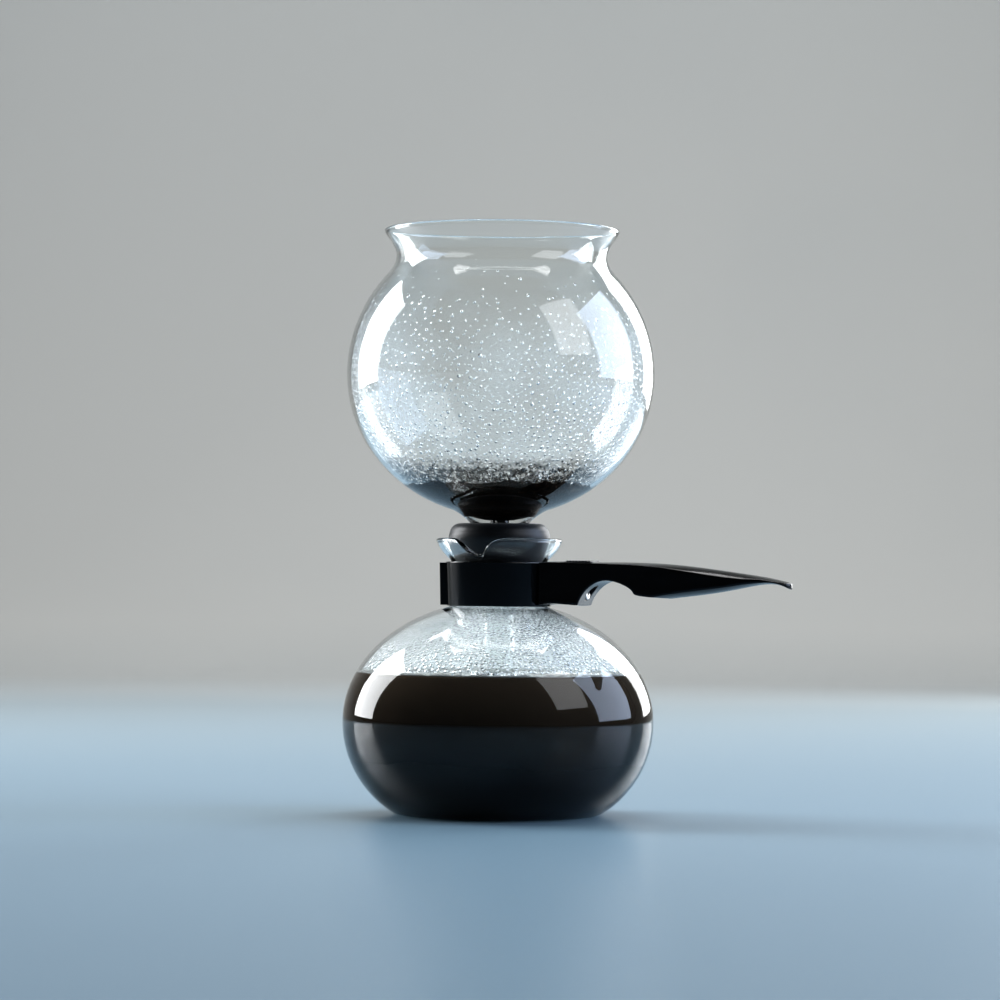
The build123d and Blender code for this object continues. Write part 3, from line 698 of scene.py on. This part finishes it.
def drops(name, places, mat, segments=8):
    """One mesh of drops; places hold (point, inward normal, radius, height, stretch)."""
    base, base_faces = dome(segments)
    verts, faces = [], []
    for p, n, r, h, stretch in places:
        down = Vector((0, 0, -1))
        v = (down - n * down.dot(n)).normalized() if abs(n.z) < 0.98 else Vector((0, 1, 0))
        u = n.cross(v)
        start = len(verts)
        for x, y, z in base:
            pull = 1 + stretch * max(0.0, y)
            verts.append(p + u * (x * r) + v * (y * r * pull) + n * (z * h))
        for f in base_faces:
            faces.append(tuple(start + k for k in f))
    return mesh_object(name, verts, faces, mat)


def wall_place(inner, z, turn):
    """A point on an inside wall and the direction from it into the vessel."""
    r = inner(z)
    slope = (inner(z + 0.4 * MM) - inner(z - 0.4 * MM)) / (0.8 * MM)
    n = Vector((-math.cos(turn), -math.sin(turn), slope)).normalized()
    return Vector((r * math.cos(turn), r * math.sin(turn), z)), n


def scatter(inner, z_low, z_high, tries, size, spacing, keep, stretch=0.3):
    """Drops spread over a wall between two heights, none closer than spacing(z)."""
    cell = 4.0 * MM
    grid = {}
    found = []
    for _ in range(tries):
        z = rnd.uniform(z_low, z_high)
        a = rnd.uniform(-math.pi, math.pi)
        if rnd.random() > inner(z) / WIDEST or rnd.random() > keep(z, a):
            continue
        p, n = wall_place(inner, z, a)
        key = (int(p.x // cell), int(p.y // cell), int(p.z // cell))
        r = size(z)
        gap = spacing(z) + r
        near = any((q - p).length < gap + qr * 0.6
                   for dx in (-1, 0, 1) for dy in (-1, 0, 1) for dz in (-1, 0, 1)
                   for q, qr in grid.get((key[0] + dx, key[1] + dy, key[2] + dz), ()))
        if near:
            continue
        grid.setdefault(key, []).append((p, r))
        found.append((p + n * 0.00002, n, r, r * rnd.uniform(0.55, 0.8), rnd.uniform(0, stretch)))
    return found


GLOBE_DROPS_LOW = 160 * MM
GLOBE_DROPS_TOP = 262 * MM
SHOULDER_TOP = 103 * MM     # of the carafe, just under its neck
WIDEST = 76 * MM            # radius at which every try counts


def globe_keep(z, a):
    """How many of the tries stay: few near the top of the globe."""
    top = max(0.0, min(1.0, (GLOBE_DROPS_TOP - z) / (45 * MM)))
    return 0.04 + 0.96 * top ** 2


def globe_size(z):
    return (0.34 + 0.52 * rnd.random() ** 2.0) * MM


def globe_gap(z):
    """Clear space between drops, wider higher up."""
    return (0.9 + 1.9 * max(0.0, min(1.0, (z - 170 * MM) / (80 * MM)))) * MM


places = scatter(globe_inner, GLOBE_DROPS_LOW, GLOBE_DROPS_TOP, 22000, globe_size,
                 globe_gap, globe_keep, 0.5)
globe_drops = drops("globe_condensation", places, water)
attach(globe_drops, "funnel")
print("globe drops", len(places))


def shoulder_share(z):
    """0 at the coffee, 1 under the neck."""
    return (z - LEVEL) / (SHOULDER_TOP - LEVEL)


places = scatter(carafe_inner, LEVEL + 2.0 * MM, SHOULDER_TOP + 0.5 * MM, 26000,
                 lambda z: (0.88 - 0.44 * shoulder_share(z) + 0.20 * rnd.random()) * MM,
                 lambda z: (0.62 - 0.36 * shoulder_share(z)) * MM, lambda z, a: 1.0, 0.7)
carafe_drops = drops("carafe_condensation", places, water)
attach(carafe_drops, "carafe")
print("carafe drops", len(places))

# bubbles on the coffee, round the tube and at the wall
bubbles = []
up = Vector((0, 0, 1))
for _ in range(60):
    a = rnd.gauss(-1.45, 0.75)
    r = TUBE_R + rnd.uniform(1.2, 5.5) * MM
    s = rnd.uniform(0.5, 1.5) * MM
    bubbles.append((Vector((r * math.cos(a), r * math.sin(a), LEVEL - 0.02 * MM)), up, s, s * 0.75, 0))
for _ in range(260):
    a = rnd.uniform(-math.pi, math.pi)
    s = rnd.uniform(0.25, 0.8) * MM
    r = edge - 1.4 * MM - s - rnd.random() ** 3 * 5 * MM
    bubbles.append((Vector((r * math.cos(a), r * math.sin(a), LEVEL + 0.02 * MM)), up, s, s * 0.7, 0))
foam = drops("coffee_bubbles", bubbles, water, 12)
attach(foam, "carafe")


# ------------------------------------------------------------------ films on the inside of the glass
def film(name, inner, z_low, z_high, gap, mat, rows=30, thick=0.05 * MM):
    """A closed thin shell that follows an inside wall."""
    zs = [z_low + (z_high - z_low) * k / rows for k in range(rows + 1)]
    out = [(inner(z) - gap, z) for z in zs]
    back = [(inner(z) - gap - thick, z) for z in reversed(zs)]
    return lathe(name, out + back, mat, steps=160, closed=True)


veil = film("globe_fog", globe_inner, GLOBE_DROPS_LOW, GLOBE_DROPS_TOP - 0.5 * MM, 0.03 * MM, fog_globe)
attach(veil, "funnel")
veil = film("carafe_fog", carafe_inner, LEVEL + 1.6 * MM, SHOULDER_TOP + 7 * MM, 0.03 * MM, fog_carafe)
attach(veil, "carafe")
veil = film("globe_residue", globe_inner, 162.8 * MM, 174.5 * MM, 0.12 * MM, residue)
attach(veil, "funnel")

# ------------------------------------------------------------------ wet grounds in the funnel
BED = 162.6 * MM
bed = [(0, 144.9 * MM), (4.6 * MM, 144.9 * MM), (7 * MM, 145.0 * MM), (10.5 * MM, 145.6 * MM),
       (14.0 * MM, 146.5 * MM)]
wall_zs = [146.9 * MM + (BED - 146.9 * MM) * k / 16 for k in range(17)]
bed += [(globe_inner(z) + 0.06 * MM, z) for z in wall_zs]
first_top = len(bed)
for k in range(1, 30):
    bed.append((globe_inner(BED) * (1 - k / 30), BED))
bed.append((0, BED))


def lump(x, y, s, seed):
    return (math.sin(x * s + seed) * math.cos(y * s * 1.13 - seed * 2.1)
            + 0.6 * math.sin(x * s * 2.3 - y * s * 1.7 + seed * 3.7)
            + 0.4 * math.cos(x * s * 4.1 + y * s * 3.3 + seed))


def heap(i, r, z, a):
    if i < first_top - 3:
        return r, z
    x, y = r * math.cos(a), r * math.sin(a)
    h = 0.75 * lump(x, y, 130, 1.3) + 0.45 * lump(x, y, 420, 4.1) + 0.28 * lump(x, y, 1100, 2.2)
    rise = (0.15 if i < first_top else 1.0) if i < first_top - 1 else 1.0
    z += h * MM * 0.75 * rise
    if i < first_top:
        return globe_inner(z) + 0.06 * MM, z
    sag = 1.1 * MM * (1 - (r / globe_inner(BED)) ** 2)
    return r, z - sag


bed = lathe("coffee_grounds", bed, grounds_mat, steps=384, place=heap)
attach(bed, "funnel")

crumbs = []
for _ in range(1800):
    a = rnd.uniform(-math.pi, math.pi)
    z = BED + abs(rnd.gauss(0, 3.6)) * MM + 0.2 * MM
    if z > 178 * MM:
        continue
    p, n = wall_place(globe_inner, z, a)
    s = rnd.uniform(0.14, 0.55) * MM
    crumbs.append((p + n * 0.00003, n, s, s * 0.8, rnd.uniform(0, 1.2)))
bits = drops("ground_specks", crumbs, grounds_mat, 6)
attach(bits, "funnel")


# ------------------------------------------------------------------ stage
def stage_material():
    """Blue-grey floor that turns warm grey further away."""
    mat, nt, b = new_material("pale_stage")
    tc = nt.nodes.new("ShaderNodeTexCoord")
    xyz = nt.nodes.new("ShaderNodeSeparateXYZ")
    nt.links.new(tc.outputs["Object"], xyz.inputs[0])
    cloud = noise(nt, 2.0, 2.0)
    away = spread(nt, xyz.outputs["Y"], 0.0, 1.0, -1.2, 2.75)
    drift = maths(nt, "MULTIPLY", maths(nt, "SUBTRACT", cloud.outputs[0], 0.5), 0.06)
    soft = maths(nt, "ADD", away.outputs[0], drift)
    tint = ramp(nt, soft, [(0.0, (0.18, 0.32, 0.44)), (0.42, (0.22, 0.315, 0.385)),
                           (0.68, (0.28, 0.345, 0.38)), (1.0, (0.58, 0.585, 0.565))])
    nt.links.new(tint.outputs[0], b.inputs["Base Color"])
    r = spread(nt, xyz.outputs["Z"], 0.32, 0.9, 0.0, 0.05)
    nt.links.new(r.outputs[0], b.inputs["Roughness"])
    return mat


def stage_plane():
    """Floor that sweeps up into a plain wall behind."""
    turn_r, back, front, half = 1.0, 3.4, -9.0, 5.0
    pts = [(front, 0.0), (0.0, 0.0), (back - turn_r, 0.0)]
    for k in range(1, 17):
        a = math.pi / 2 * k / 16
        pts.append((back - turn_r + turn_r * math.sin(a), turn_r - turn_r * math.cos(a)))
    pts.append((back, 4.0))
    verts, faces = [], []
    for y, z in pts:
        verts += [(-half, y, z), (half, y, z)]
    for k in range(len(pts) - 1):
        faces.append((2 * k, 2 * k + 1, 2 * k + 3, 2 * k + 2))
    return mesh_object("floor", verts, faces, stage_material())


AZ = math.radians(20)
turn = Matrix.Rotation(AZ, 4, "Z")
floor = stage_plane()
floor.matrix_world = turn

world = bpy.data.worlds.new("studio")
bpy.context.scene.world = world
world.use_nodes = True
world.node_tree.nodes["Background"].inputs[0].default_value = (1.0, 0.98, 0.96, 1)
world.node_tree.nodes["Background"].inputs[1].default_value = 0.05


def area_light(name, place, aim, size, radiance, colour=(1, 1, 1)):
    """A soft box; place and aim are right, away from the camera and up from the object."""
    data = bpy.data.lights.new(name, "AREA")
    data.shape = "RECTANGLE"
    data.size, data.size_y = size
    data.energy = radiance * math.pi * size[0] * size[1]
    data.color = colour
    ob = bpy.data.objects.new(name, data)
    bpy.context.scene.collection.objects.link(ob)
    place = turn @ Vector(place)
    aim = turn @ Vector(aim)
    facing = (aim - place).to_track_quat("-Z", "Y").to_matrix().to_4x4()
    ob.matrix_world = Matrix.Translation(place) @ facing
    return ob


area_light("left_box", (-1.45, 0.75, 0.72), (0, 0, 0.17), (0.85, 1.3), 8.5, (0.96, 0.98, 1.0))
area_light("right_back_box", (1.05, 1.55, 0.72), (0, 0, 0.17), (0.8, 1.3), 5.2, (0.97, 0.99, 1.0))
area_light("right_box", (1.75, 0.2, 0.85), (0, 0, 0.15), (1.3, 1.5), 4.2, (0.66, 0.78, 1.0))
area_light("high_right_box", (1.35, -0.85, 1.2), (0, 0, 0.2), (0.9, 1.3), 2.3, (0.95, 0.97, 1.0))
area_light("top_box", (0, 0.6, 2.0), (0, 0.4, 0), (1.6, 1.2), 4.0)
area_light("wall_wash", (0, 1.4, 2.4), (0, 3.4, 0.7), (2.5, 0.6), 6.5)

# ------------------------------------------------------------------ camera
bpy.context.scene.view_settings.view_transform = "Standard"
bpy.context.scene.view_settings.look = "Medium High Contrast"
cam_data = bpy.data.cameras.new("camera")
cam_data.lens = 135
cam_data.sensor_width = 36
cam_data.clip_end = 50
cam = bpy.data.objects.new("camera", cam_data)
bpy.context.scene.collection.objects.link(cam)
DIST = 1.8375
CAM_Z = 0.116
PITCH = math.radians(1.19)
ROLL = math.radians(0.5)
back = Vector((math.sin(AZ), -math.cos(AZ), 0))
right = Vector((math.cos(AZ), math.sin(AZ), 0))
eye = back * DIST + Vector((0, 0, CAM_Z)) + right * 0.0001
view_dir = (-back * math.cos(PITCH) + Vector((0, 0, math.sin(PITCH)))).normalized()
rot = view_dir.to_track_quat("-Z", "Y").to_matrix().to_4x4()
cam.matrix_world = Matrix.Translation(eye) @ rot @ Matrix.Rotation(ROLL, 4, "Z")
bpy.context.scene.camera = cam
